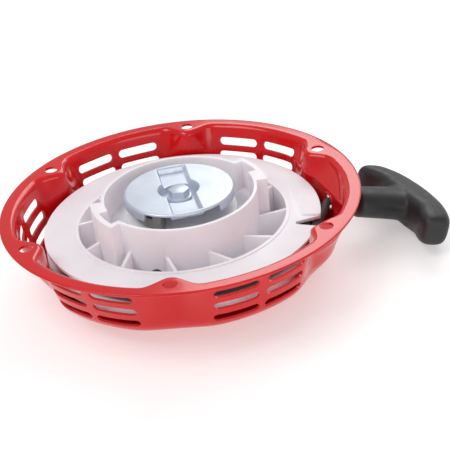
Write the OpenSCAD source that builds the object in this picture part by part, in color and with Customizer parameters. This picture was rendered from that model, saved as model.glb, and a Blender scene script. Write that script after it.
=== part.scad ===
// Recoil starter for a small engine.
// Frame: +Z is the case axis, with the open side up. z = 0 is the mating face of the flange.
// The origin is the centre of the mounting-hole circle. +X points to the rope outlet's sector.
// The ground, under the closed face, is at z = base_z. Lengths are in mm.

/* [Case] */
// Outer radius of the mounting flange
flange_r = 99; // [90:0.5:110]
// Thickness of the pressed sheet
sheet_t = 1.4; // [1:0.1:2.5]
// Outer radius of the drafted wall where it meets z = 0
wall_r = 92.2; // [85:0.1:97]
// Growth of the wall radius per mm of height
wall_k = 0.27; // [0:0.01:0.4]
// Outer radius of the rounded bottom corner
corner_r = 10; // [4:0.5:16]
// Height of the centre of the rounded bottom corner
corner_z = -25.5; // [-40:0.5:-15]
// Underside radius of the bend between wall and flange
bend_r = 2.1; // [1:0.1:4]
// Height of the closed face on the ground
base_z = -46; // [-60:0.5:-40]
// Outer radius of the raised centre of the closed face
dome_r = 57.5; // [45:0.5:62]
// Outer edge radius of that centre
dome_fillet = 5; // [2:0.5:8]

/* [Mounting holes] */
// Number of mounting holes
hole_n = 6; // [3:1:8]
// Radius of the mounting-hole circle
hole_pcr = 90; // [80:0.5:96]
// Radius of a mounting hole
hole_r = 3.75; // [2.5:0.05:5]
// Angle of the first mounting hole
hole_a0 = 30; // [0:1:60]
// Radius of the pocket pressed in below each hole
pocket_rho = 16.4; // [10:0.1:22]
// Distance of the pocket's axis from the case axis at z = 0
pocket_c = 99.5; // [95:0.1:105]
// Lean of the pocket's axis in degrees
pocket_tilt = 5.9; // [0:0.1:12]

/* [Cooling slots] */
// Length of a slot between its end centres
slot_l = 19.4; // [8:0.1:22]
// Width of a slot
slot_w = 4.8; // [2:0.1:7]
// Angle of each slot column from the middle of its sector
slot_off = 9.3; // [8:0.1:10]
// Height of the top row
slot_z0 = -10.1; // [-12:0.1:-8]
// Step down from row to row
slot_dz = 8.2; // [5:0.1:8.5]
// Rows of slots
slot_rows = 3; // [1:1:4]

/* [Rope outlet] */
// Direction of the middle of the outward bulge
nose_a = -8; // [-20:1:10]
// Distance of the bulge's own axis from the case axis
nose_c = 45.5; // [30:0.5:60]
// Direction that the flat round the eyelet faces
facet_a = 22; // [10:1:40]
// Distance of that flat's outer side from the case axis
facet_d = 82.27; // [78:0.01:86]
// Height where the flat's sloping roof starts
facet_top = -11; // [-14:0.5:-6]
// Eyelet centre, distance along the flat's direction
eye_y = -18.15; // [-30:0.01:10]
// Eyelet height
eye_z = -18; // [-25:0.1:-12]
// Radius of the eyelet hole
eye_r = 4.2; // [3.4:0.1:5]
// Radius of the rolled rim's section
eye_rim = 1; // [0.4:0.1:1.5]
// How far the rolled rim sits inside the flat's outer side
eye_in = 1.2; // [0:0.1:1.5]

/* [Reel] */
// Outer radius of the reel
reel_r = 76.6; // [70:0.1:82]
// Top of the upper flange
reel_top = -13; // [-16:0.1:-8]
// Thickness of the upper flange
reel_ft = 2; // [1.5:0.1:3]
// Height of the rope groove
groove_h = 6.5; // [5:0.1:9]
// Outer radius of the drum that the rope winds on
drum_r = 60.9; // [55:0.1:68]
// Inner radius of the drum's wall
drum_ri = 57.7; // [50:0.1:60]
// Height of the lip on the drum's upper edge
lip_h = 0.5; // [0.2:0.1:2]
// Width of that lip
lip_w = 2; // [1:0.1:4]
// Lower edge of the turned-down skirt of the lower flange
skirt_z = -28; // [-32:0.5:-24]
// Underside of the reel's web
web_z = -31.7; // [-33:0.1:-28]
// Thickness of the web
web_t = 2.5; // [1.5:0.1:4]
// Inner radius of the collar for the engine's starter cup
collar_ri = 41.2; // [36:0.1:46]
// Outer radius of the collar
collar_ro = 43; // [38:0.1:48]
// Top of the collar
collar_top = 3; // [0:0.1:6]
// Floor of the ring-shaped space for the starter cup
cup_floor = -14; // [-20:0.5:-10]
// Radius of the platform that carries the pawls
plat_r = 31; // [28:0.1:34]
// Top of that platform
plat_z = -7.7; // [-10:0.1:-5]
// Number of ribs between collar and drum
rib_n = 12; // [6:1:18]
// Thickness of a rib
rib_t = 1.8; // [1:0.1:3]
// Outer radius of the two lobes on the collar
lobe_r = 49; // [45:0.1:54]
// First angle of the first lobe
lobe_a = 8; // [0:1:30]
// Angle that a lobe spans
lobe_w = 38; // [20:1:50]
// Angle by which a rib's inner end lags its outer end
rib_lean = 8; // [0:1:20]
// Radius of the reel's own bearing bore
bore_r = 7.05; // [6:0.01:9]
// Outer radius of the hub round the bore
hub_r = 11; // [9:0.1:14]
// Inner radius of the spring housing under the web
house_ri = 47; // [40:0.1:52]
// Lower edge of the spring housing
house_z = -43.9; // [-45:0.1:-38]
// Angle of the notch in the rim
notch_a = 346; // [330:1:360]
// Radius of the notch's inner end
notch_r = 66; // [60:0.5:72]

/* [Rope] */
// Thickness of the rope
rope_d = 4.7; // [3:0.1:6]
// Distance between the rope's turns
rope_pitch = 4.8; // [4:0.1:6]
// Radius of the outermost turn's centre line
rope_r = 74.1; // [68:0.1:75]
// Height of the wound rope's centre line
rope_z = -18.25; // [-20:0.05:-16]
// Angle that the wound rope covers
coil_a = 806; // [400:0.1:900]
// Radius of the rope's bend at the eyelet
rope_bend = 6; // [4:0.5:12]

/* [Handle] */
// Distance from the eyelet to the middle of the grip
grip_dist = 51.9; // [45:0.1:70]
// Length of the grip
grip_l = 83.5; // [60:0.5:110]
// Half thickness of the grip along the pull
grip_a = 10.35; // [7:0.05:15]
// Half height of the grip
grip_b = 10.8; // [7:0.05:15]
// How far the grip's ends sweep back
grip_sweep = 7; // [0:0.5:14]
// Depth of the finger hollows
grip_hollow = 1; // [0:0.1:3]
// Squareness of the grip's section, 2 is an ellipse
grip_p = 3.2; // [2:0.1:4]
// Flatness of the grip's ends
grip_end = 8; // [4:1:10]
// Distance from the middle of the grip to the stem's tip
stem_l = 39; // [30:0.5:45]
// Half width of the stem near its tip
stem_b = 11; // [6:0.1:13]
// Half height of the stem near its tip
stem_c = 8.3; // [6:0.1:9.5]
// Length of the stem's rounded tip
stem_tip = 3; // [1:0.5:6]
// Droop of the handle below level
grip_droop = 18; // [0:0.5:30]
// Roll of the handle
grip_roll = -2; // [-10:0.5:10]

/* [Post and bolt] */
// Radius of the post in the reel's bore
post_r = 7; // [5:0.01:9]
// Radius of the post inside the spring
arbor_r = 9; // [7:0.1:12]
// Top of the post
post_top = -3.2; // [-6:0.1:-1]
// Size of the bolt's hexagon across its flats
hex_af = 10; // [8:0.5:13]
// Radius of the bolt's flange
bolt_fr = 6.8; // [6:0.1:9]
// Radius of the bolt's shoulder
shoulder_r = 4; // [3:0.05:5]
// Radius of the bolt's thread
thread_r = 2.95; // [2:0.05:4]

/* [Recoil spring] */
// Thickness of the spring strip
strip_t = 0.8; // [0.4:0.1:1.2]
// Height of the spring strip
strip_h = 10.9; // [8:0.1:14]
// Turns of the spring
strip_turns = 10; // [6:1:16]

/* [Ratchet guide and pawls] */
// Radius of the ratchet guide
guide_r = 30.3; // [26:0.1:34]
// Top of the ratchet guide
guide_top = 4.8; // [3:0.1:7]
// Thickness of the ratchet guide's sheet
guide_t = 1.6; // [1:0.1:2.5]
// Inner radius of its centre well
well_r = 11; // [9:0.1:14]
// Upper side of the well's floor
well_z = -1.2; // [-3:0.1:0]
// Direction of the channel across it
chan_a = 103; // [90:1:120]
// Width of the channel
chan_w = 16; // [12:0.1:20]
// Depth of the channel
chan_d = 3; // [1:0.1:4]
// Lower edge of its turned-down skirts
gskirt_z = -0.9; // [-2:0.1:2]
// Distance of a pawl's pivot from the axis
pivot_r = 20; // [16:0.1:24]
// Angle of the first pawl's pivot
pivot_a = 200; // [180:1:220]
// Radius of a pawl's pivot stud
stud_r = 3; // [2:0.05:4]
// Thickness of a pawl
pawl_h = 6; // [4:0.1:8]
// First angle of the pawl's upstanding lug
lug_a = 242; // [236:1:250]
// Inner radius of the lug
lug_ri = 23.3; // [20:0.1:26]
// Outer radius of the lug
lug_r = 28.2; // [26:0.1:30]
// Top of the lug
lug_top = 2.8; // [1:0.1:3]

/* [Quality] */
// Smoothness of large rounds
fn_big = 60; // [36:4:120]
// Smoothness of small rounds
fn_small = 32; // [26:2:64]

/* [Hidden] */
e = 0.01;
wall_a = atan(wall_k);
wall_n = sheet_t / cos(wall_a);
corner_c = wall_r + wall_k * corner_z - corner_r / cos(wall_a);
bend_z = -sheet_t - bend_r;
bend_pz = bend_z + bend_r * sin(wall_a);
bend_c = wall_r + wall_k * bend_pz + bend_r * cos(wall_a);
shoulder_z = corner_z - corner_r;
floor_z = base_z + sheet_t;
groove_top = reel_top - reel_ft;
groove_bot = groove_top - groove_h;
web_top = web_z + web_t;
rope_s = rope_d / 2;
eye = [facet_d * cos(facet_a) - eye_y * sin(facet_a), facet_d * sin(facet_a) + eye_y * cos(facet_a), eye_z];
pull = [cos(grip_droop) * cos(facet_a), cos(grip_droop) * sin(facet_a), -sin(grip_droop)];
knee = eye - 2.2 * pull;
knee_r = norm([knee[0], knee[1]]);
knee_a = atan2(knee[1], knee[0]);
leave_a = knee_a - acos(rope_r / knee_r);
leave = [rope_r * cos(leave_a), rope_r * sin(leave_a), rope_z];
lead_v = (knee - leave) / norm(knee - leave);
turn_a = acos(lead_v * pull);
side_v = (pull - (lead_v * pull) * lead_v) / sin(turn_a);
bend_l = rope_bend * tan(turn_a / 2);
bend_s = knee - bend_l * lead_v;
bend_o = bend_s + rope_bend * side_v;
grip = eye + grip_dist * pull;
end_a = leave_a - coil_a;
coil_n = 101;
pawl_z = plat_z + 0.3;
wire_r = 0.35;
coil_r = 3.5;
coil_grow = 1.8;
pin_r = 17;
pin_a = 170;

function arc(cx, cy, r, a0, a1, n) = [for (i = [0:n]) let (a = a0 + (a1 - a0) * i / n)
    [cx + r * cos(a), cy + r * sin(a)]];
function polar(r, a, z) = [r * cos(a), r * sin(a), z];
function wall(z) = wall_r + wall_k * z;
function power(v, p) = sign(v) * pow(abs(v), p);
function unit(v) = v / norm(v);

// Solid through rings of points, all with the same number of points
module loft(rings) {
    n = len(rings[0]);
    m = len(rings);
    pts = [for (r = rings) for (p = r) p];
    sides = [for (i = [0:m - 2]) for (j = [0:n - 1])
        [i * n + j, i * n + (j + 1) % n, (i + 1) * n + (j + 1) % n, (i + 1) * n + j]];
    tri = [for (q = sides) for (h = [0:1]) h == 0 ? [q[0], q[1], q[2]] : [q[0], q[2], q[3]]];
    polyhedron(points = pts, faces = concat([for (t = tri) [t[2], t[1], t[0]]],
        [[for (j = [0:n - 1]) j]], [[for (j = [n - 1:-1:0]) (m - 1) * n + j]]));
}

// Round wire along a path, with an even number of sides
module wire(path, r, n) {
    m = len(path);
    rings = [for (i = [0:m - 1])
        let (t = unit(path[min(i + 1, m - 1)] - path[max(i - 1, 0)]))
        let (u = unit(cross(abs(t[2]) < 0.9 ? [0, 0, 1] : [1, 0, 0], t)))
        let (v = cross(t, u))
        [for (j = [0:n - 1]) path[i] + r * cos(360 * j / n) * u + r * sin(360 * j / n) * v]];
    loft(rings);
}

// ---- case ----
module case_section(t, top) {
    polygon(concat(
        [[0, base_z + t]],
        arc(dome_r - 2.5 - dome_fillet, base_z + dome_fillet, dome_fillet - t, -90, -10, 4),
        [[dome_r - t * 0.9, shoulder_z - 1.6 + t * 0.5]],
        [[dome_r + 1.6 - t * 0.5, shoulder_z + t]],
        arc(corner_c, corner_z, corner_r - t, -90, -wall_a, 5),
        arc(bend_c, bend_z, bend_r + t, 180 - wall_a, 90, 4),
        top));
}

module pocket(r) {
    for (i = [0:hole_n - 1])
        rotate([0, 0, hole_a0 + i * 360 / hole_n])
            translate([pocket_c, 0, 0])
                rotate([0, pocket_tilt, 0])
                    translate([0, 0, -44])
                        cylinder(h = 54, r = r, $fn = 40);
}

module bulge(t) {
    rotate([0, 0, nose_a])
        translate([nose_c, 0, 0])
            rotate_extrude($fn = fn_big)
                polygon([[0, -30], [38 - t, -30], [40.6 - t, -25], [42.4 - t, -21], [44.3 - t, -17.8],
                    [44.9 - t, -14], [45.3 - t, -8], [46 - t, t > 0 ? 0 : -e], [0, t > 0 ? 0 : -e]]);
}

module facet_cut(t) {
    rotate([0, 0, facet_a])
        translate([0, 8 + t, 0])
            rotate([90, 0, 0])
                linear_extrude(50 + 2 * t)
                    polygon([[facet_d - t, -48], [facet_d - t, facet_top + 0.4 * t],
                        [facet_d + 7 - 0.6 * t, facet_top + 7 + 0.8 * t],
                        [120, facet_top + 7 + 0.8 * t], [120, -48]]);
}

module slots() {
    for (s = [1:hole_n - 1])
        for (c = [-1, 1])
            for (k = [0:slot_rows - 1])
                rotate([0, 0, s * 360 / hole_n + c * slot_off])
                    translate([wall(slot_z0 - k * slot_dz), 0, slot_z0 - k * slot_dz])
                        rotate([0, 90 + wall_a, 0])
                            translate([0, 0, -4])
                                slot();
}

module slot() {
    for (y = [-1, 1])
        translate([0, y * slot_l / 2, 0])
            cylinder(h = 8, r = slot_w / 2, $fn = 20);
    translate([-slot_w / 2, -slot_l / 2, 0])
        cube([slot_w, slot_l, 8]);
}

module outer_form() {
    difference() {
        union() {
            rotate_extrude($fn = fn_big)
                case_section(0, [[flange_r - 1, -sheet_t], [flange_r - 1, -sheet_t + 0.2],
                    [0, -sheet_t + 0.2]]);
            bulge(0);
        }
        pocket(pocket_rho - wall_n);
        facet_cut(0);
    }
    translate([0, 0, -sheet_t])
        cylinder(h = sheet_t, r = flange_r, $fn = fn_big * 2);
}

module inner_form() {
    difference() {
        union() {
            rotate_extrude($fn = fn_big)
                case_section(sheet_t, [[bend_c, 2], [0, 2]]);
            bulge(wall_n);
        }
        pocket(pocket_rho);
        facet_cut(wall_n);
    }
}

module starter_case() {
    color([0.72, 0.05, 0.06])
        difference() {
            union() {
                difference() {
                    outer_form();
                    inner_form();
                }
                translate(eye)
                    rotate([0, 90, facet_a])
                        rotate_extrude($fn = 36)
                            translate([eye_r + eye_rim * 0.8, -eye_in])
                                circle(r = eye_rim, $fn = 12);
            }
            slots();
            translate(eye)
                rotate([0, 90, facet_a])
                    translate([0, 0, -4])
                        cylinder(h = 8, r = eye_r, $fn = fn_small);
            for (i = [0:hole_n - 1])
                rotate([0, 0, hole_a0 + i * 360 / hole_n])
                    translate([hole_pcr, 0, -4])
                        cylinder(h = 6, r = hole_r, $fn = fn_small);
        }
}

// ---- post and bolt ----
module centre_post() {
    color([0.6, 0.6, 0.62])
        difference() {
            union() {
                translate([0, 0, floor_z])
                    cylinder(h = 0.8, r = 14, $fn = 48);
                translate([0, 0, floor_z])
                    cylinder(h = web_z - 0.3 - floor_z, r = arbor_r, $fn = 48);
                translate([0, 0, floor_z])
                    cylinder(h = post_top - floor_z, r = post_r, $fn = 48);
            }
            translate([0, 0, post_top - 18])
                cylinder(h = 19, r = thread_r + 0.05, $fn = fn_small);
            translate([post_r - 1, -0.8, floor_z + 0.8])
                cube([4, 1.6, web_z - floor_z]);
        }
}

module centre_bolt() {
    color([0.75, 0.77, 0.8]) {
        translate([0, 0, -19])
            cylinder(h = 16, r = thread_r, $fn = fn_small);
        translate([0, 0, post_top])
            cylinder(h = well_z + 0.3 - post_top, r = shoulder_r, $fn = fn_small);
        translate([0, 0, well_z + 0.2])
            cylinder(h = 1.5, r = bolt_fr, $fn = 48);
        translate([0, 0, well_z + 1.6])
            cylinder(h = 4.2, r = hex_af / 2 / cos(30), $fn = 6);
    }
}

// ---- recoil spring ----
function strip_at(f) = arbor_r + 0.4 + strip_t / 2 + f * (house_ri - 0.6 - arbor_r - 0.8 - strip_t);

module recoil_spring() {
    n = strip_turns * 20;
    mid = [for (i = [0:n]) [strip_at(i / n), 360 * strip_turns * i / n]];
    color([0.45, 0.46, 0.5])
        translate([0, 0, floor_z + 1.2])
            linear_extrude(strip_h)
                polygon(concat(
                    [[post_r + 0.3, -strip_t / 2], [mid[0][0] + strip_t / 2, -strip_t / 2]],
                    [for (i = [1:n]) (mid[i][0] + strip_t / 2) * [cos(mid[i][1]), sin(mid[i][1])]],
                    [[house_ri + 1.6, 0], [house_ri + 1.6, strip_t], [mid[n][0] - strip_t / 2, strip_t]],
                    [for (i = [n:-1:1]) (mid[i][0] - strip_t / 2) * [cos(mid[i][1]), sin(mid[i][1])]],
                    [[mid[0][0] - strip_t / 2, strip_t / 2], [post_r + 0.3, strip_t / 2]]));
}

// ---- reel ----
module reel_rings() {
    rotate_extrude($fn = fn_big)
        polygon([[bore_r, web_z], [house_ri, web_z], [house_ri, house_z], [house_ri + 3, house_z],
            [house_ri + 3, web_z], [drum_ri + 2, web_z], [drum_r, web_z + 2.4], [drum_r, groove_bot - 2],
            [reel_r - 2, groove_bot - 2], [reel_r - 2, skirt_z], [reel_r, skirt_z], [reel_r, groove_bot],
            [drum_r, groove_bot], [drum_r, groove_top], [reel_r, groove_top], [reel_r, reel_top],
            [drum_ri + lip_w, reel_top], [drum_ri + lip_w, reel_top + lip_h], [drum_ri, reel_top + lip_h],
            [drum_ri, web_top], [collar_ro, web_top], [collar_ro, collar_top], [collar_ri, collar_top],
            [collar_ri, cup_floor], [plat_r, cup_floor], [plat_r, plat_z], [bore_r, plat_z]]);
}

module reel_hollow() {
    rotate_extrude($fn = fn_big)
        polygon([[hub_r, web_z - 1], [plat_r - 2, web_z - 1],
            [plat_r - 2, plat_z - 2.3], [hub_r, plat_z - 2.3]]);
    rotate_extrude($fn = fn_big)
        polygon([[plat_r, web_z - 1], [collar_ri, web_z - 1],
            [collar_ri, cup_floor - 2], [plat_r, cup_floor - 2]]);
}

module reel_rib(a) {
    p = polar2(collar_ro - 0.5, a - rib_lean);
    q = polar2(drum_ri + 0.5, a);
    translate([p[0], p[1], web_top - 0.5])
        rotate([0, 0, atan2(q[1] - p[1], q[0] - p[0])])
            translate([0, -rib_t / 2, 0])
                cube([norm(q - p), rib_t, reel_top - web_top + 0.5]);
}

module reel() {
    color([0.87, 0.8, 0.78])
        difference() {
            union() {
                difference() {
                    reel_rings();
                    reel_hollow();
                }
                rotate_extrude($fn = fn_big)
                    polygon([[hub_r - 1, web_z], [house_ri + 1, web_z],
                        [house_ri + 1, web_top], [hub_r - 1, web_top]]);
                for (i = [0:rib_n - 1])
                    reel_rib(i * 360 / rib_n);
                for (i = [0:1])
                    reel_lobe(lobe_a + 180 * i);
                for (i = [0:1])
                    rotate([0, 0, 180 * i])
                        pawl_seat();
                rotate([0, 0, notch_a + 7])
                    translate([notch_r + 1, -0.2, reel_top])
                        rotate([0, 90, 0])
                            cylinder(h = reel_r - notch_r - 1.2, r = 0.9, $fn = 16);
            }
            for (i = [0:1])
                rotate_extrude(angle = 18.5, start = lobe_a + 15.5 + 180 * i, $fn = fn_big)
                    polygon([[collar_ri - 1, cup_floor], [lobe_r - 3, cup_floor],
                        [lobe_r - 3, collar_top + 1], [collar_ri - 1, collar_top + 1]]);
            rim_notch();
            translate([house_ri - 1, -0.6, house_z - 1])
                cube([5, 2, strip_h + 1.6]);
            rotate([0, 0, end_a])
                translate([drum_ri - 2, 0, rope_z])
                    rotate([0, 90, 0])
                        cylinder(h = 8, r = rope_s + 0.15, $fn = fn_small);
        }
}

module reel_lobe(a) {
    rotate_extrude(angle = lobe_w, start = a, $fn = fn_big)
        polygon([[collar_ro - 0.5, web_top - 0.5], [lobe_r, web_top - 0.5], [lobe_r, collar_top],
            [collar_ro - 0.5, collar_top]]);
}

module rim_notch() {
    translate([0, 0, groove_top - 0.1])
        linear_extrude(reel_ft + 0.1 + e)
            polygon([polar2(notch_r, notch_a - 2), polar2(notch_r, notch_a + 1.2),
                polar2(reel_r + 1, notch_a + 6.6), polar2(reel_r + 1, notch_a - 2.3)]);
    rotate([0, 0, notch_a - 0.4])
        translate([notch_r + 0.2, 0, groove_top - 0.1])
            cylinder(h = reel_ft + 1.2, r = 1.8, $fn = 20);
}

function polar2(r, a) = [r * cos(a), r * sin(a)];

module pawl_seat() {
    translate(polar(pivot_r, pivot_a, plat_z - 0.5))
        cylinder(h = 2.6 + 0.5 - plat_z, r = stud_r, $fn = fn_small);
    translate(polar(pin_r, pin_a, plat_z - 0.5))
        cylinder(h = 1.5 - plat_z, r = 1.2, $fn = fn_small);
}

// ---- rope ----
function coil_at(a) = polar(rope_r - rope_pitch * a / 360, leave_a - a, rope_z);

module rope_coil() {
    color([0.06, 0.06, 0.07])
        wire([for (i = [0:coil_n]) coil_at(coil_a * i / coil_n)], rope_s, 12);
}

module reel_knot() {
    color([0.07, 0.07, 0.08])
        rotate([0, 0, end_a]) {
            translate([53.5, 0, rope_z])
                knot(1.6, 1.6);
            translate([53.5, 0, rope_z])
                rotate([0, 90, 0])
                    cylinder(h = drum_r - 53.6, r = rope_s, $fn = 12);
        }
}

module knot(ring, cord) {
    for (s = [-1, 1])
        translate([s * cord * 0.75, 0, 0])
            rotate([0, 90 + s * 14, 0])
                rotate_extrude($fn = 36)
                    translate([ring + 0.1, 0])
                        circle(r = cord, $fn = 12);
}

module rope_lead() {
    color([0.06, 0.06, 0.07])
        wire(concat([leave + 0.4 * lead_v, (leave + bend_s) / 2, bend_s],
            [for (i = [1:8]) bend_o - rope_bend * cos(turn_a * i / 8) * side_v
                + rope_bend * sin(turn_a * i / 8) * lead_v],
            [eye + 1.6 * pull]), rope_s, 12);
}

module rod(a, b, r) {
    v = b - a;
    translate(a)
        rotate([0, acos(v[2] / norm(v)), atan2(v[1], v[0])])
            cylinder(h = norm(v), r = r, $fn = 12);
}

module rope_run() {
    color([0.06, 0.06, 0.07])
        rod(eye + 1.9 * pull, grip + 1.5 * pull, rope_s);
}

// ---- handle ----
function grip_ring(y) =
    let (s = abs(y) / (grip_l / 2))
    let (k = pow(max(0, 1 - pow(s, grip_end)), 1 / grip_end) * (1 - 0.12 * s * s))
    let (h = grip_hollow * pow(sin(180 * max(0, min(1, (s - 0.2) / 0.65))), 2))
    [for (j = [0:27]) let (t = 360 * j / 28)
        [(grip_a - h) * k * power(cos(t), 2 / grip_p) + h - grip_sweep * s * s,
            y, grip_b * k * power(sin(t), 2 / grip_p)]];

function stem_ring(u) =
    let (f = max(0, (u - stem_l + stem_tip) / stem_tip))
    let (k = sqrt(1 - 0.75 * f * f))
    let (wy = k * (stem_b + 0.035 * (stem_l - u) + 4 * exp((8 - u) / 3.5)))
    let (wz = k * (stem_c + 0.024 * (stem_l - u)))
    [for (j = [0:27]) let (t = 360 * j / 28) [-u, wy * cos(t), wz * sin(t)]];

module pull_handle() {
    color([0.08, 0.08, 0.09])
        translate(grip)
            rotate([grip_roll, grip_droop, facet_a])
                difference() {
                    union() {
                        loft([for (q = [88:-8:-88]) grip_ring(grip_l / 2 * sin(q))]);
                        loft([for (u = [0, 0.4, 1, 2, stem_tip]) stem_ring(stem_l - u),
                            for (u = [26, 20, 16, 13, 10, 8, 4]) stem_ring(u)]);
                    }
                    translate([-stem_l - 1, 0, 0])
                        rotate([0, 90, 0])
                            cylinder(h = stem_l + 4, r = rope_s + 0.15, $fn = fn_small);
                    translate([0.5, 0, 0])
                        rotate([0, 90, 0])
                            cylinder(h = 20, r = 5.6, $fn = fn_small);
                }
}

module handle_knot() {
    color([0.07, 0.07, 0.08])
        translate(grip)
            rotate([grip_roll, grip_droop, facet_a])
                translate([5, 0, 0])
                    knot(2, 2);
}

// ---- ratchet guide and pawls ----
module guide_skirt(a, w) {
    rotate_extrude(angle = w, start = a, $fn = fn_big)
        polygon([[guide_r - guide_t, gskirt_z], [guide_r, gskirt_z], [guide_r, guide_top - 0.4],
            [guide_r - guide_t, guide_top - 0.4]]);
}

module ratchet_guide() {
    color([0.78, 0.8, 0.86])
        difference() {
            union() {
                translate([0, 0, guide_top - guide_t])
                    cylinder(h = guide_t, r = guide_r, $fn = fn_big);
                translate([0, 0, well_z - guide_t])
                    cylinder(h = guide_top - well_z + guide_t - e, r = well_r + guide_t, $fn = 48);
                guide_skirt(140, 95);
                guide_skirt(320, 95);
                rotate([0, 0, chan_a])
                    translate([-28.5, -chan_w / 2 - guide_t, guide_top - chan_d - guide_t])
                        cube([57, chan_w + 2 * guide_t, chan_d + guide_t - 0.2]);
            }
            rotate([0, 0, chan_a])
                translate([-26.9, -chan_w / 2, guide_top - chan_d])
                    cube([53.8, chan_w, chan_d + 1]);
            translate([0, 0, well_z])
                cylinder(h = 10, r = well_r, $fn = 48);
            translate([0, 0, well_z - 3])
                cylinder(h = 6, r = shoulder_r + 0.05, $fn = fn_small);
        }
}

module friction_spring() {
    h = well_z - guide_t - plat_z - 0.3 - 1.2;
    color([0.5, 0.51, 0.54])
        wire([for (i = [0:54]) polar(9.5, i * 20, plat_z + 0.9 + h * i / 54)], 0.6, 8);
}

module pawl(a) {
    color([0.25, 0.25, 0.27])
        rotate([0, 0, a])
            difference() {
                union() {
                    translate(polar(pivot_r, pivot_a, pawl_z))
                        cylinder(h = pawl_h, r = 5.2, $fn = fn_small);
                    rotate_extrude(angle = 48, start = pivot_a, $fn = fn_big)
                        polygon([[pivot_r - 1, pawl_z], [25.5, pawl_z],
                            [25.5, pawl_z + pawl_h], [pivot_r - 1, pawl_z + pawl_h]]);
                    rotate_extrude(angle = 10, start = lug_a, $fn = fn_big)
                        polygon([[lug_ri, pawl_z], [lug_r, pawl_z], [lug_r, lug_top], [lug_ri, lug_top]]);
                }
                translate(polar(pivot_r, pivot_a, pawl_z - 1))
                    cylinder(h = pawl_h + 2, r = stud_r + 0.05, $fn = fn_small);
            }
}

module pawl_a() {
    pawl(0);
}

module pawl_b() {
    pawl(180);
}

module pawl_spring(a) {
    z0 = pawl_z + pawl_h + wire_r + 0.2;
    c = polar(pivot_r, pivot_a, 0);
    color([0.55, 0.56, 0.6])
        rotate([0, 0, a])
            wire(concat([polar(pin_r + 1.9, pin_a, z0)],
                [for (i = [0:40]) c + polar(coil_r + coil_grow * i / 40, 120 + i * 22, z0)],
                [polar(lug_ri - 0.7, lug_a + 5, z0)]), wire_r, 8);
}

module pawl_spring_a() {
    pawl_spring(0);
}

module pawl_spring_b() {
    pawl_spring(180);
}

starter_case();
centre_post();
centre_bolt();
recoil_spring();
reel();
rope_coil();
rope_lead();
rope_run();
reel_knot();
handle_knot();
pull_handle();
ratchet_guide();
friction_spring();
pawl_a();
pawl_b();
pawl_spring_a();
pawl_spring_b();
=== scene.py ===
"""Looks of a recoil starter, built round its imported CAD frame.

Lengths in the geometry functions are millimetres and are scaled by MM when a mesh is made.
"""

import math

import bmesh
import bpy
from mathutils import Matrix, Vector


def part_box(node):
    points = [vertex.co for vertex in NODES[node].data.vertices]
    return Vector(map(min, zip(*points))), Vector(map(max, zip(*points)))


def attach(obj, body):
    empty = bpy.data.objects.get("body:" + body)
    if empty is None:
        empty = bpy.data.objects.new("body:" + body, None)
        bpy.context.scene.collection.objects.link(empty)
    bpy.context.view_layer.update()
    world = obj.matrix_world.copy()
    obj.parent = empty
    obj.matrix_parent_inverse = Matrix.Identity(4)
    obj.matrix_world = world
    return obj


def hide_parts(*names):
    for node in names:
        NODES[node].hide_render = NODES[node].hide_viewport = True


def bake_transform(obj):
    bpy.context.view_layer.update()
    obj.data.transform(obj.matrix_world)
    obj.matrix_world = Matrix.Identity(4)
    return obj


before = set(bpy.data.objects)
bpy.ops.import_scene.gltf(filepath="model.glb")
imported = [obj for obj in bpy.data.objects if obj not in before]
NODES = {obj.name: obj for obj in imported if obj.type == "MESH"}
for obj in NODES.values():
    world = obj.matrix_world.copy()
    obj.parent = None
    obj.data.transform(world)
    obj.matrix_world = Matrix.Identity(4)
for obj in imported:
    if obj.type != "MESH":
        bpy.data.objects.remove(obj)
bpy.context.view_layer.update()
MM = 0.001
TAU = 2 * math.pi

# ---- sizes, in mm, worked out from the frame where it holds them ----


def node_box(name):
    low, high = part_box(name)
    return [v / MM for v in low], [v / MM for v in high]


CASE_LOW, CASE_HIGH = node_box("starter_case")
FLANGE_R = CASE_HIGH[0]
BASE_Z = CASE_LOW[2]
SHEET = 1.4
RIM_R = 0.6
WALL_R = 92.2
WALL_K = 0.27
LEAN = math.atan(WALL_K)
WALL_N = SHEET / math.cos(LEAN)
CORNER_R = 10
CORNER_Z = -25.5
CORNER_C = WALL_R + WALL_K * CORNER_Z - CORNER_R / math.cos(LEAN)
SHOULDER_Z = CORNER_Z - CORNER_R
BEND_R = 2.1
BEND_Z = -SHEET - BEND_R
BEND_END = BEND_Z + BEND_R * math.sin(LEAN)
BEND_C = WALL_R + WALL_K * BEND_END + BEND_R * math.cos(LEAN)
DOME_R = 57.5
DOME_FILLET = 5
HOLE_N = 6
HOLE_PCR = 90
HOLE_R = 3.75
HOLE_A0 = 30
SLOT_L = 19.4
SLOT_W = 4.8
SLOT_OFF = 9.3
SLOT_ROWS = (-10.1, -18.3, -26.5)
FACET_A = 22
FACET_D = 82.27
EYE_Y = -18.15
EYE_Z = -18
EYE_R = 4.2
EYE_RIM = 1
EYE_IN = 1.2
NOSE_A = -8
NOSE_C = 45.5
NOSE_FORM = ((-30, 38), (-25, 40.6), (-21, 42.4), (-17.8, 44.3), (-14, 44.9), (-8, 45.3), (0, 46))
DROOP = 18
ROLL = -2
GRIP_DIST = 51.9
GRIP_L = 83.5
GRIP_A = 10.35
GRIP_B = 10.8
GRIP_SWEEP = 7
GRIP_HOLLOW = 1
GRIP_P = 3.2
GRIP_END = 8
STEM_L = 39
STEM_B = 11
STEM_C = 8.3
STEM_TIP = 3
ROPE_D = 4.7
ROPE_R = 74.1
ROPE_Z = -18.25
PITCH = 4.8
COIL_A = 806
BEND = 6
LAY = 9.5
KNOT_SEAT_R = 5.6


def rad(degrees):
    return math.radians(degrees)


def polar(r, a, z=0.0):
    return Vector((r * math.cos(rad(a)), r * math.sin(rad(a)), z))


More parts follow.
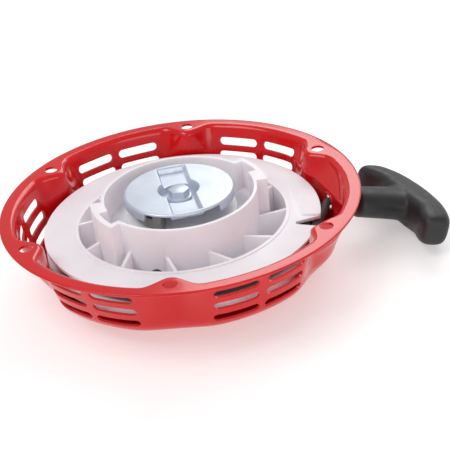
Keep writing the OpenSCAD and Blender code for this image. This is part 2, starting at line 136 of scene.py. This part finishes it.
EYE = Vector((FACET_D * math.cos(rad(FACET_A)) - EYE_Y * math.sin(rad(FACET_A)),
              FACET_D * math.sin(rad(FACET_A)) + EYE_Y * math.cos(rad(FACET_A)), EYE_Z))
PULL = Vector((math.cos(rad(DROOP)) * math.cos(rad(FACET_A)),
               math.cos(rad(DROOP)) * math.sin(rad(FACET_A)), -math.sin(rad(DROOP))))
GRIP = EYE + PULL * GRIP_DIST

# ---- camera ----


def make_camera():
    data = bpy.data.cameras.new("camera")
    data.sensor_width = 36
    data.lens = 94.69
    cam = bpy.data.objects.new("camera", data)
    bpy.context.collection.objects.link(cam)
    right = Vector((0.99514379, 0.01678946, -0.09698949))
    up = Vector((0.07596088, 0.49566442, 0.86518595))
    back = Vector((0.06260025, -0.86835183, 0.49198202))
    turn = Matrix((right, up, back)).transposed().to_4x4()
    cam.matrix_world = Matrix.Translation((0.064256, -0.570788, 0.302926)) @ turn
    bpy.context.scene.camera = cam


make_camera()

# ---- mesh helpers ----


def add_object(name, verts, faces, mat, body, slot_name, *nodes, smooth=35):
    mesh = bpy.data.meshes.new(name)
    mesh.from_pydata([tuple(c * MM for c in v) for v in verts], [], faces)
    obj = bpy.data.objects.new(name, mesh)
    bpy.context.collection.objects.link(obj)
    return dress(obj, mat, body, slot_name, *nodes, smooth=smooth)


def dress(obj, mat, body, slot_name, *nodes, smooth=35):
    obj.data.materials.clear()
    obj.data.materials.append(mat)
    tidy_mesh(obj, smooth)
    if body:
        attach(obj, body)
    if nodes:
        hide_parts(*nodes)
    return obj


def tidy_mesh(obj, smooth):
    bm = bmesh.new()
    bm.from_mesh(obj.data)
    bmesh.ops.recalc_face_normals(bm, faces=bm.faces)
    bm.to_mesh(obj.data)
    bm.free()
    obj.data.shade_smooth()
    obj.data.set_sharp_from_angle(angle=rad(smooth))


def apply_modifiers(obj):
    graph = bpy.context.evaluated_depsgraph_get()
    graph.update()
    mesh = bpy.data.meshes.new_from_object(obj.evaluated_get(graph))
    obj.modifiers.clear()
    obj.data = mesh


def cut(obj, cutter, operation="DIFFERENCE"):
    mod = obj.modifiers.new("cut", "BOOLEAN")
    mod.operation = operation
    mod.solver = "EXACT"
    mod.object = cutter
    apply_modifiers(obj)
    bpy.data.objects.remove(cutter, do_unlink=True)


def raw_object(name, verts, faces):
    mesh = bpy.data.meshes.new(name)
    mesh.from_pydata([tuple(c * MM for c in v) for v in verts], [], faces)
    obj = bpy.data.objects.new(name, mesh)
    bpy.context.collection.objects.link(obj)
    bm = bmesh.new()
    bm.from_mesh(mesh)
    bmesh.ops.recalc_face_normals(bm, faces=bm.faces)
    bm.to_mesh(mesh)
    bm.free()
    return obj


def arc(cx, cy, r, a0, a1, n):
    steps = [a0 + (a1 - a0) * i / n for i in range(n + 1)]
    return [(cx + r * math.cos(rad(a)), cy + r * math.sin(rad(a))) for a in steps]


def tube(path, ring):
    """Vertices and faces of a closed tube along path.

    ring(i, j) gives the radius and angle of point j at step i, and ring(i, None) the number of points.
    """
    verts, faces = [], []
    n = ring(0, None)
    m = len(path)
    side = None
    for i in range(m):
        t = (path[min(i + 1, m - 1)] - path[max(i - 1, 0)]).normalized()
        if side is None:
            side = Vector((0, 0, 1)).cross(t).normalized()
        side = (side - t * side.dot(t)).normalized()
        other = t.cross(side)
        for j in range(n):
            r, a = ring(i, j)
            verts.append(path[i] + side * (r * math.cos(a)) + other * (r * math.sin(a)))
    for i in range(m - 1):
        for j in range(n):
            k = (j + 1) % n
            faces.append((i * n + j, i * n + k, (i + 1) * n + k, (i + 1) * n + j))
    faces.append(tuple(range(n - 1, -1, -1)))
    faces.append(tuple((m - 1) * n + j for j in range(n)))
    return verts, faces


# ---- materials ----


def new_material(name):
    mat = bpy.data.materials.new(name)
    mat.use_nodes = True
    tree = mat.node_tree
    return mat, tree, tree.nodes["Principled BSDF"]


def noise(tree, scale, detail=4, rough=0.5):
    coords = tree.nodes.new("ShaderNodeTexCoord")
    tex = tree.nodes.new("ShaderNodeTexNoise")
    tex.inputs["Scale"].default_value = scale
    tex.inputs["Detail"].default_value = detail
    tex.inputs["Roughness"].default_value = rough
    tree.links.new(coords.outputs["Object"], tex.inputs["Vector"])
    return tex


def ramp(tree, source, stops):
    node = tree.nodes.new("ShaderNodeValToRGB")
    node.color_ramp.elements[0].position = stops[0][0]
    node.color_ramp.elements[0].color = (*stops[0][1], 1)
    node.color_ramp.elements[1].position = stops[-1][0]
    node.color_ramp.elements[1].color = (*stops[-1][1], 1)
    for place, colour in stops[1:-1]:
        mid = node.color_ramp.elements.new(place)
        mid.color = (*colour, 1)
    tree.links.new(source, node.inputs["Fac"])
    return node.outputs["Color"]


def bump(tree, source, strength, distance, shader):
    node = tree.nodes.new("ShaderNodeBump")
    node.inputs["Strength"].default_value = strength
    node.inputs["Distance"].default_value = distance
    tree.links.new(source, node.inputs["Height"])
    tree.links.new(node.outputs["Normal"], shader.inputs["Normal"])


def surface(name, dark, light, scale, rough, metallic=0.0, bump_scale=0, bump_strength=0.0, bump_m=0.0001,
            coat=0.0, coat_rough=0.05, sheen=0.0, subsurface=0.0, ior=1.5):
    mat, tree, shader = new_material(name)
    tex = noise(tree, scale)
    tree.links.new(ramp(tree, tex.outputs["Fac"], ((0.3, dark), (0.7, light))), shader.inputs["Base Color"])
    low, high = rough
    grey = ramp(tree, noise(tree, scale * 2.3).outputs["Fac"], ((0.3, (low,) * 3), (0.7, (high,) * 3)))
    tree.links.new(grey, shader.inputs["Roughness"])
    shader.inputs["Metallic"].default_value = metallic
    shader.inputs["Coat Weight"].default_value = coat
    shader.inputs["Coat Roughness"].default_value = coat_rough
    shader.inputs["Sheen Weight"].default_value = sheen
    shader.inputs["IOR"].default_value = ior
    if subsurface:
        shader.inputs["Subsurface Weight"].default_value = subsurface
        shader.inputs["Subsurface Radius"].default_value = (0.004, 0.003, 0.0025)
        shader.inputs["Subsurface Scale"].default_value = 1.0
    if bump_scale:
        bump(tree, noise(tree, bump_scale, 3).outputs["Fac"], bump_strength, bump_m, shader)
    return mat


RED = surface("red_enamel", (0.60, 0.003, 0.005), (0.68, 0.005, 0.008), 12, (0.16, 0.2), coat=0.35,
              bump_scale=180, bump_strength=0.03, ior=1.36)
NYLON = surface("natural_nylon", (0.84, 0.79, 0.83), (0.92, 0.88, 0.92), 25, (0.36, 0.48), subsurface=0.5,
                bump_scale=400, bump_strength=0.06)
ZINC = surface("zinc_plate", (0.56, 0.61, 0.70), (0.66, 0.71, 0.80), 60, (0.32, 0.42), metallic=0.6,
               bump_scale=700, bump_strength=0.05)
ROPE = surface("braided_rope", (0.012, 0.012, 0.014), (0.045, 0.045, 0.05), 900, (0.55, 0.75), sheen=0.15,
               bump_scale=2500, bump_strength=0.4)
BLACK = surface("black_plastic", (0.012, 0.012, 0.013), (0.02, 0.02, 0.022), 90, (0.42, 0.55),
                bump_scale=1500, bump_strength=0.12)
PAWL = surface("pawl_steel", (0.22, 0.22, 0.21), (0.34, 0.34, 0.32), 120, (0.42, 0.55), metallic=0.8,
               bump_scale=900, bump_strength=0.1)
SPRING = surface("spring_steel", (0.25, 0.26, 0.28), (0.42, 0.43, 0.46), 150, (0.25, 0.4), metallic=1.0,
                 bump_scale=900, bump_strength=0.08)
POST = surface("post_steel", (0.42, 0.42, 0.44), (0.58, 0.58, 0.6), 80, (0.25, 0.38), metallic=1.0,
               bump_scale=900, bump_strength=0.06)

# ---- case ----


def smooth_min(a, b, k):
    h = max(0.0, min(1.0, 0.5 + 0.5 * (b - a) / k))
    return b * (1 - h) + a * h - k * h * (1 - h)


def wall(z):
    return WALL_R + WALL_K * z


def pocket_depth(a, z):
    share = max(0.0, min(1.0, (BEND_END - z) / (BEND_END + 28)))
    depth = 9.0 - 5.2 * share
    half = 16 + 8 * share
    off = (a - HOLE_A0 + 180 / HOLE_N) % (360 / HOLE_N) - 180 / HOLE_N
    x = abs(rad(off)) * wall(z)
    return depth * math.cos(math.pi / 2 * min(1.0, x / half)) ** 2


def nose_radius(z):
    for (z0, r0), (z1, r1) in zip(NOSE_FORM, NOSE_FORM[1:]):
        if z <= z1:
            f = max(0.0, min(1.0, (z - z0) / (z1 - z0)))
            return r0 + (r1 - r0) * f
    return NOSE_FORM[-1][1]


def wall_at(a, z):
    """Outer radius of the wall at an angle and height, with pockets, rope outlet and its flat."""
    r = wall(z) - pocket_depth(a, z)
    d = rad((a - NOSE_A + 180) % 360 - 180)
    if abs(d) < rad(40):
        rb = nose_radius(z)
        inside = rb * rb - (NOSE_C * math.sin(d)) ** 2
        if inside > 0:
            r = -smooth_min(-r, -(NOSE_C * math.cos(d) + math.sqrt(inside)), 1.6)
    f = rad((a - FACET_A + 180) % 360 - 180)
    if abs(f) < rad(50):
        flat = FACET_D + 1.25 * max(0.0, z + 11)
        r = smooth_min(r, flat / math.cos(f), 5)
    return r


def case_profile(a, inner):
    """Points (r, z) from the flange's edge to the axis, at one angle."""
    t = SHEET if inner else 0.0
    n = WALL_N if inner else 0.0
    top = 0.0 if inner else -SHEET
    shift = wall(BEND_END) - wall_at(a, BEND_END)
    r_bend = BEND_C - shift
    edge = FLANGE_R - RIM_R
    pts = [(edge + (r_bend - edge) * i / 6, top) for i in range(6)]
    pts += [(BEND_C - shift + (BEND_R + t) * math.cos(rad(g)), BEND_Z + (BEND_R + t) * math.sin(rad(g)))
            for g in [90 + (90 - math.degrees(LEAN)) * i / 7 for i in range(8)]]
    z_first = pts[-1][1]
    z_last = CORNER_Z - (CORNER_R - t) * math.sin(LEAN)
    for i in range(1, 24):
        z = z_first + (z_last - z_first) * i / 24
        pts.append((wall_at(a, z) - n, z))
    low = wall(z_last) - wall_at(a, z_last)
    for i in range(11):
        g = -math.degrees(LEAN) - (90 - math.degrees(LEAN)) * i / 10
        fade = math.cos(math.pi / 2 * i / 10)
        pts.append((CORNER_C + (CORNER_R - t) * math.cos(rad(g)) - low * fade,
                    CORNER_Z + (CORNER_R - t) * math.sin(rad(g))))
    foot = DOME_R + 1.6 - t * 0.5
    pts += [(CORNER_C + (foot + 2 - CORNER_C) * i / 4, SHOULDER_Z + t) for i in range(1, 5)]
    pts += [(foot + 0.4, SHOULDER_Z + t - 0.2), (DOME_R - t * 0.9 + 0.6, SHOULDER_Z - 0.9 + t * 0.7)]
    bottom = arc(DOME_R - 2.5 - DOME_FILLET, BASE_Z + DOME_FILLET, DOME_FILLET - t, -10, -90, 8)
    pts += bottom
    last = bottom[-1][0]
    pts += [(last * (1 - i / 8), BASE_Z + t) for i in range(1, 8)]
    return pts


def case_mesh(steps):
    verts, faces = [], []
    loops = []
    for s in range(steps):
        a = 360 * s / steps
        inside = case_profile(a, True)
        outside = case_profile(a, False)
        rim = [(FLANGE_R - RIM_R + RIM_R * math.sin(rad(g)), SHEET / 2 * (math.cos(rad(g)) - 1))
               for g in (30, 60, 90, 120, 150)]
        loops.append(list(reversed(inside)) + rim + outside)
    n = len(loops[0])
    for s, loop in enumerate(loops):
        a = 360 * s / steps
        verts += [polar(r, a, z) for r, z in loop]
    for s in range(steps):
        q = (s + 1) % steps
        for j in range(n - 1):
            faces.append((s * n + j, q * n + j, q * n + j + 1, s * n + j + 1))
    verts += [Vector((0, 0, BASE_Z + SHEET)), Vector((0, 0, BASE_Z))]
    top, low = len(verts) - 2, len(verts) - 1
    for s in range(steps):
        q = (s + 1) % steps
        faces.append((s * n, top, q * n))
        faces.append((q * n + n - 1, low, s * n + n - 1))
    return verts, faces


def prism(outline, low, high, place):
    """A straight solid over an outline in x and y, from low to high in z, moved by a matrix."""
    n = len(outline)
    verts = [place @ Vector((x, y, z)) for z in (low, high) for x, y in outline]
    faces = [(j, (j + 1) % n, n + (j + 1) % n, n + j) for j in range(n)]
    faces += [tuple(range(n - 1, -1, -1)), tuple(range(n, 2 * n))]
    return verts, faces


def spin(a):
    return Matrix.Rotation(rad(a), 4, "Z")


def case_cutters():
    verts, faces = [], []

    def add(piece):
        start = len(verts)
        verts.extend(piece[0])
        faces.extend(tuple(start + i for i in f) for f in piece[1])

    r = SLOT_W / 2
    stadium = [(x, y + SLOT_L / 2) for x, y in arc(0, 0, r, 0, 180, 12)]
    stadium += [(x, y - SLOT_L / 2) for x, y in arc(0, 0, r, 180, 360, 12)]
    for s in range(1, HOLE_N):
        for c in (-1, 1):
            for z in SLOT_ROWS:
                place = spin(s * 360 / HOLE_N + c * SLOT_OFF) @ Matrix.Translation((wall(z), 0, z))
                place = place @ Matrix.Rotation(rad(90) + LEAN, 4, "Y")
                add(prism(stadium, -4, 4, place))
    ring = arc(0, 0, 1, 0, 360, 40)[:-1]
    for i in range(HOLE_N):
        place = spin(HOLE_A0 + i * 360 / HOLE_N) @ Matrix.Translation((HOLE_PCR, 0, 0))
        add(prism([(x * HOLE_R, y * HOLE_R) for x, y in ring], -4, 2, place))
    place = Matrix.Translation(EYE) @ spin(FACET_A) @ Matrix.Rotation(rad(90), 4, "Y")
    add(prism([(x * (EYE_R + 0.5), y * (EYE_R + 0.5)) for x, y in ring], -5, 5, place))
    return raw_object("cutters", verts, faces)


def make_case():
    verts, faces = case_mesh(288)
    obj = raw_object("cover_shell", verts, faces)
    cut(obj, case_cutters())
    dress(obj, RED, "case", "case_red", "starter_case", smooth=40)
    place = Matrix.Translation(EYE) @ spin(FACET_A) @ Matrix.Rotation(rad(90), 4, "Y")
    ring = EYE_R + 0.8 * EYE_RIM
    verts, faces = [], []
    for i in range(48):
        a = TAU * i / 48
        for j in range(16):
            b = TAU * j / 16
            w = ring + 0.95 * EYE_RIM * math.cos(b)
            verts.append(place @ Vector((w * math.cos(a), w * math.sin(a), EYE_RIM * math.sin(b) - EYE_IN)))
            k = (i + 1) % 48
            m = (j + 1) % 16
            faces.append((i * 16 + j, i * 16 + m, k * 16 + m, k * 16 + j))
    add_object("eyelet_rim", verts, faces, RED, "case", "case_red")


make_case()

# ---- rope ----


def braid(path, r, spacing, name, body, *nodes, sides=32, strands=8):
    turns = TAU / LAY

    def ring(i, j):
        if j is None:
            return sides
        a = TAU * j / sides
        s = i * spacing * turns
        left = math.cos(strands / 2 * (a + s))
        right = math.cos(strands / 2 * (a - s))
        return r * (0.84 + 0.16 * max(abs(left), abs(right)) ** 0.8), a

    verts, faces = tube(path, ring)
    return add_object(name, verts, faces, ROPE, body, "rope_black", *nodes, smooth=60)


def along(points, spacing):
    """The same route with points an equal distance apart."""
    out = [points[0]]
    left = spacing
    for a, b in zip(points, points[1:]):
        gap = (b - a).length
        done = 0.0
        while gap - done > left:
            done += left
            out.append(a.lerp(b, done / gap))
            left = spacing
        left -= gap - done
    out.append(points[-1])
    return out


def make_rope():
    knee = EYE - PULL * 2.2
    knee_r = math.hypot(knee.x, knee.y)
    leave_a = math.degrees(math.atan2(knee.y, knee.x)) - math.degrees(math.acos(ROPE_R / knee_r))
    leave = polar(ROPE_R, leave_a, ROPE_Z)
    lead = (knee - leave).normalized()
    turn = math.acos(lead.dot(PULL))
    side = (PULL - lead * lead.dot(PULL)).normalized()
    cut_l = BEND * math.tan(turn / 2)
    first = knee - lead * cut_l
    centre = first + side * BEND
    bend = [centre - side * (BEND * math.cos(turn * i / 12)) + lead * (BEND * math.sin(turn * i / 12))
            for i in range(13)]
    route = [leave] + bend + [EYE + PULL * 1.9]
    braid(along(route, 0.5), ROPE_D / 2, 0.5, "rope_to_eyelet", "case", "rope_lead")
    steps = int(COIL_A / 1.5)
    coil = []
    for i in range(steps + 1):
        a = COIL_A * i / steps
        coil.append(polar(ROPE_R - PITCH * a / 360, leave_a - a, ROPE_Z))
    braid(along(coil, 0.8), ROPE_D / 2, 0.8, "rope_on_reel", "rope_reel", "rope_coil", sides=24)
    straight = along([EYE + PULL * 1.8, GRIP + PULL * 1.5], 0.4)
    run = braid(straight, ROPE_D / 2, 0.4, "rope_to_grip", None, "rope_run")
    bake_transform(run)


make_rope()

# ---- handle ----


def power(v, p):
    return math.copysign(abs(v) ** p, v)


def grip_ring(y, sides):
    s = abs(y) / (GRIP_L / 2)
    k = max(0.0, 1 - s ** GRIP_END) ** (1 / GRIP_END) * (1 - 0.12 * s * s)
    h = GRIP_HOLLOW * math.sin(math.pi * max(0.0, min(1.0, (s - 0.2) / 0.65))) ** 2
    out = []
    for j in range(sides):
        t = TAU * j / sides
        out.append(((GRIP_A - h) * k * power(math.cos(t), 2 / GRIP_P) + h - GRIP_SWEEP * s * s, y,
                    GRIP_B * k * power(math.sin(t), 2 / GRIP_P)))
    return out


def stem_ring(u, sides):
    f = max(0.0, (u - STEM_L + STEM_TIP) / STEM_TIP)
    k = math.sqrt(1 - 0.75 * f * f)
    wy = k * (STEM_B + 0.035 * (STEM_L - u) + 4 * math.exp((8 - u) / 3.5))
    wz = k * (STEM_C + 0.024 * (STEM_L - u))
    return [(-u, wy * math.cos(TAU * j / sides), wz * math.sin(TAU * j / sides)) for j in range(sides)]


def loft(rings):
    n = len(rings[0])
    verts = [v for ring in rings for v in ring]
    faces = []
    for i in range(len(rings) - 1):
        for j in range(n):
            k = (j + 1) % n
            faces.append((i * n + j, i * n + k, (i + 1) * n + k, (i + 1) * n + j))
    faces.append(tuple(range(n - 1, -1, -1)))
    faces.append(tuple((len(rings) - 1) * n + j for j in range(n)))
    return verts, faces


def make_handle():
    bar = raw_object("grip", *loft([grip_ring(GRIP_L / 2 * math.sin(rad(q)), 72) for q in range(-88, 89, 2)]))
    stem = raw_object("stem", *loft([stem_ring(STEM_L - i * (STEM_L - 4) / 60, 64) for i in range(61)]))
    cut(bar, stem, operation="UNION")
    mod = bar.modifiers.new("remesh", "REMESH")
    mod.mode = "VOXEL"
    mod.voxel_size = 0.8 * MM
    mod = bar.modifiers.new("smooth", "SMOOTH")
    mod.factor = 0.5
    mod.iterations = 7
    apply_modifiers(bar)
    ring = arc(0, 0, 1, 0, 360, 32)[:-1]
    turn = Matrix.Rotation(rad(90), 4, "Y")
    rope_r = ROPE_D / 2 + 0.15
    bore = prism([(x * rope_r, y * rope_r) for x, y in ring], -STEM_L - 2, 4, turn)
    cut(bar, raw_object("bore", *bore))
    seat = prism([(x * KNOT_SEAT_R, y * KNOT_SEAT_R) for x, y in ring], 0.5, 20, turn)
    cut(bar, raw_object("seat", *seat))
    place = Matrix.Translation(GRIP * MM) @ Matrix.Rotation(rad(FACET_A), 4, "Z")
    place = place @ Matrix.Rotation(rad(DROOP), 4, "Y") @ Matrix.Rotation(rad(ROLL), 4, "X")
    bar.data.transform(place)
    dress(bar, BLACK, "grip", "grip_black", "pull_handle", smooth=50)


make_handle()

# ---- ratchet guide ----

GUIDE_R = 30.3
GUIDE_TOP = 4.8
GUIDE_T = 1.6
GUIDE_EDGE = 1.2
SKIRT_Z = -0.9
SKIRTS = ((140, 235), (320, 415))
SHAFT_R = 4.05
WELL_R = 11
WELL_Z = -1.2
CHAN_A = 103
CHAN_HALF = 28
CHAN_W = 16
CHAN_D = 3


def guide_height(r, a, under):
    """Height of the guide's upper side, or of its under side, a sheet's thickness outside it."""
    t = GUIDE_T if under else 0.0
    u = abs(r * math.cos(rad(a - CHAN_A)))
    v = abs(r * math.sin(rad(a - CHAN_A)))
    past = max(v - CHAN_W / 2 + 1 - t, u - CHAN_HALF + 2, 0.0)
    channel = GUIDE_TOP - CHAN_D - t + 3 * past
    z = smooth_min(GUIDE_TOP - t, channel, 0.9)
    well = WELL_Z - t + 6 * max(0.0, r - WELL_R - t + 0.6)
    return smooth_min(z, well, 0.7)


def skirt_share(a):
    """1 inside a skirt, 0 outside, with a short run between them."""
    best = 0.0
    for low, high in SKIRTS:
        for turn in (0, 360):
            best = max(best, min(1.0, (a + turn - low) / 2 + 0.5, (high - a - turn) / 2 + 0.5))
    return best


def guide_loop(a):
    steps = 62
    flat = GUIDE_R - GUIDE_EDGE
    low = GUIDE_TOP - GUIDE_T + 0.1 + (SKIRT_Z - GUIDE_TOP + GUIDE_T - 0.1) * skirt_share(a)
    radii = [SHAFT_R + (flat - SHAFT_R) * i / steps for i in range(steps + 1)]
    loop = [(r, guide_height(r, a, False)) for r in radii]
    loop += arc(flat, GUIDE_TOP - GUIDE_EDGE, GUIDE_EDGE, 75, 0, 5)
    loop += [(GUIDE_R, low + 0.3), (GUIDE_R - 0.3, low), (GUIDE_R - GUIDE_T + 0.3, low)]
    loop.append((GUIDE_R - GUIDE_T, min(low + 0.3, GUIDE_TOP - GUIDE_T)))
    inner = GUIDE_R - GUIDE_T - 0.2
    radii = [inner + (SHAFT_R - inner) * i / steps for i in range(steps + 1)]
    return loop + [(r, guide_height(r, a, True)) for r in radii]


def make_guide():
    steps = 360
    loops = [guide_loop(360 * s / steps) for s in range(steps)]
    n = len(loops[0])
    verts = [polar(r, 360 * s / steps, z) for s, loop in enumerate(loops) for r, z in loop]
    faces = []
    for s in range(steps):
        q = (s + 1) % steps
        for j in range(n):
            k = (j + 1) % n
            faces.append((s * n + j, q * n + j, q * n + k, s * n + k))
    add_object("guide_plate", verts, faces, ZINC, "guide", "zinc_plate", "ratchet_guide", smooth=50)


make_guide()

# ---- pieces whose CAD shape stays, with softened edges ----


def softened(node, name, mat, body, slot_name, width, smooth=40):
    source = NODES[node]
    mesh = source.data.copy()
    obj = bpy.data.objects.new(name, mesh)
    obj.matrix_world = source.matrix_world.copy()
    bpy.context.collection.objects.link(obj)
    bm = bmesh.new()
    bm.from_mesh(mesh)
    bmesh.ops.remove_doubles(bm, verts=bm.verts, dist=0.002 * MM)
    bmesh.ops.dissolve_limit(bm, angle_limit=rad(0.6), verts=bm.verts, edges=bm.edges)
    bm.to_mesh(mesh)
    bm.free()
    mod = obj.modifiers.new("bevel", "BEVEL")
    mod.width = width * MM
    mod.segments = 3
    mod.limit_method = "ANGLE"
    mod.angle_limit = rad(40)
    mod.harden_normals = False
    mod.use_clamp_overlap = True
    apply_modifiers(obj)
    return dress(obj, mat, body, slot_name, node, smooth=smooth)


softened("reel", "rope_drum", NYLON, "rope_reel", "reel_nylon", 0.35)
softened("centre_bolt", "flange_bolt", ZINC, "case", "zinc_plate", 0.3)
softened("pawl_a", "pawl_first_body", PAWL, "pawl_first", "pawl_steel", 0.4)
softened("pawl_b", "pawl_second_body", PAWL, "pawl_second", "pawl_steel", 0.4)


PIVOT_R = 20
PIVOT_A = 200
PIN_R = 18.9
PIN_A = 170
LUG_R = 22.6
LUG_A = 247
SPRING_Z = -0.85
SPRING_WIRE = 0.33


def make_pawl_spring(name, node, a):
    """A flat spiral return spring round a pawl's stud, from the reel's pin to the pawl's lug."""
    centre = polar(PIVOT_R, PIVOT_A, SPRING_Z)
    coils = [centre + polar(3.5 + 1.8 * i / 96, 120 + i * 9.17) for i in range(97)]
    path = along([polar(PIN_R, PIN_A, SPRING_Z)] + coils + [polar(LUG_R, LUG_A, SPRING_Z)], 0.3)
    verts, faces = tube(path, lambda i, j: 12 if j is None else (SPRING_WIRE, TAU * j / 12))
    verts = [spin(a) @ v for v in verts]
    add_object(name, verts, faces, SPRING, "rope_reel", "spring_steel", node, smooth=60)


make_pawl_spring("return_spring_a", "pawl_spring_a", 0)
make_pawl_spring("return_spring_b", "pawl_spring_b", 180)


def keep(node, mat):
    obj = NODES[node]
    obj.data.materials.clear()
    obj.data.materials.append(mat)


for name in ("recoil_spring", "friction_spring"):
    keep(name, SPRING)
keep("centre_post", POST)
for name in ("reel_knot", "handle_knot"):
    keep(name, ROPE)

# ---- floor and light ----


def make_stage():
    half = 4.0
    corners = ((-half, -half), (half, -half), (half, half), (-half, half))
    verts = [(x, y, BASE_Z * MM) for x, y in corners]
    mesh = bpy.data.meshes.new("floor")
    mesh.from_pydata(verts, [], [(0, 1, 2, 3)])
    obj = bpy.data.objects.new("floor", mesh)
    bpy.context.collection.objects.link(obj)
    mat, _, shader = new_material("pale_floor")
    shader.inputs["Base Color"].default_value = (0.7, 0.7, 0.7, 1)
    shader.inputs["Emission Color"].default_value = (1, 1, 1, 1)
    shader.inputs["Emission Strength"].default_value = 0.42
    shader.inputs["Roughness"].default_value = 0.6
    mesh.materials.append(mat)


def area_light(name, place, aim, size, watts, colour=(1, 1, 1)):
    data = bpy.data.lights.new(name, "AREA")
    data.shape = "RECTANGLE"
    data.size, data.size_y = size
    data.energy = watts
    data.color = colour
    obj = bpy.data.objects.new(name, data)
    bpy.context.collection.objects.link(obj)
    obj.location = place
    obj.rotation_euler = (Vector(aim) - Vector(place)).to_track_quat("-Z", "Y").to_euler()


make_stage()
area_light("key", (-0.5, -0.3, 0.9), (0, 0, -0.02), (0.6, 0.6), 4.5)
area_light("back", (0.3, 0.9, 0.7), (0, 0, -0.02), (0.9, 0.5), 4.5)
area_light("front", (0.5, -0.9, 0.35), (0, 0, -0.02), (0.7, 0.4), 2.0)
world = bpy.data.worlds.new("world")
world.use_nodes = True
world.node_tree.nodes["Background"].inputs["Color"].default_value = (1, 1, 1, 1)
world.node_tree.nodes["Background"].inputs["Strength"].default_value = 0.5
bpy.context.scene.world = world
bpy.context.scene.view_settings.view_transform = "Standard"
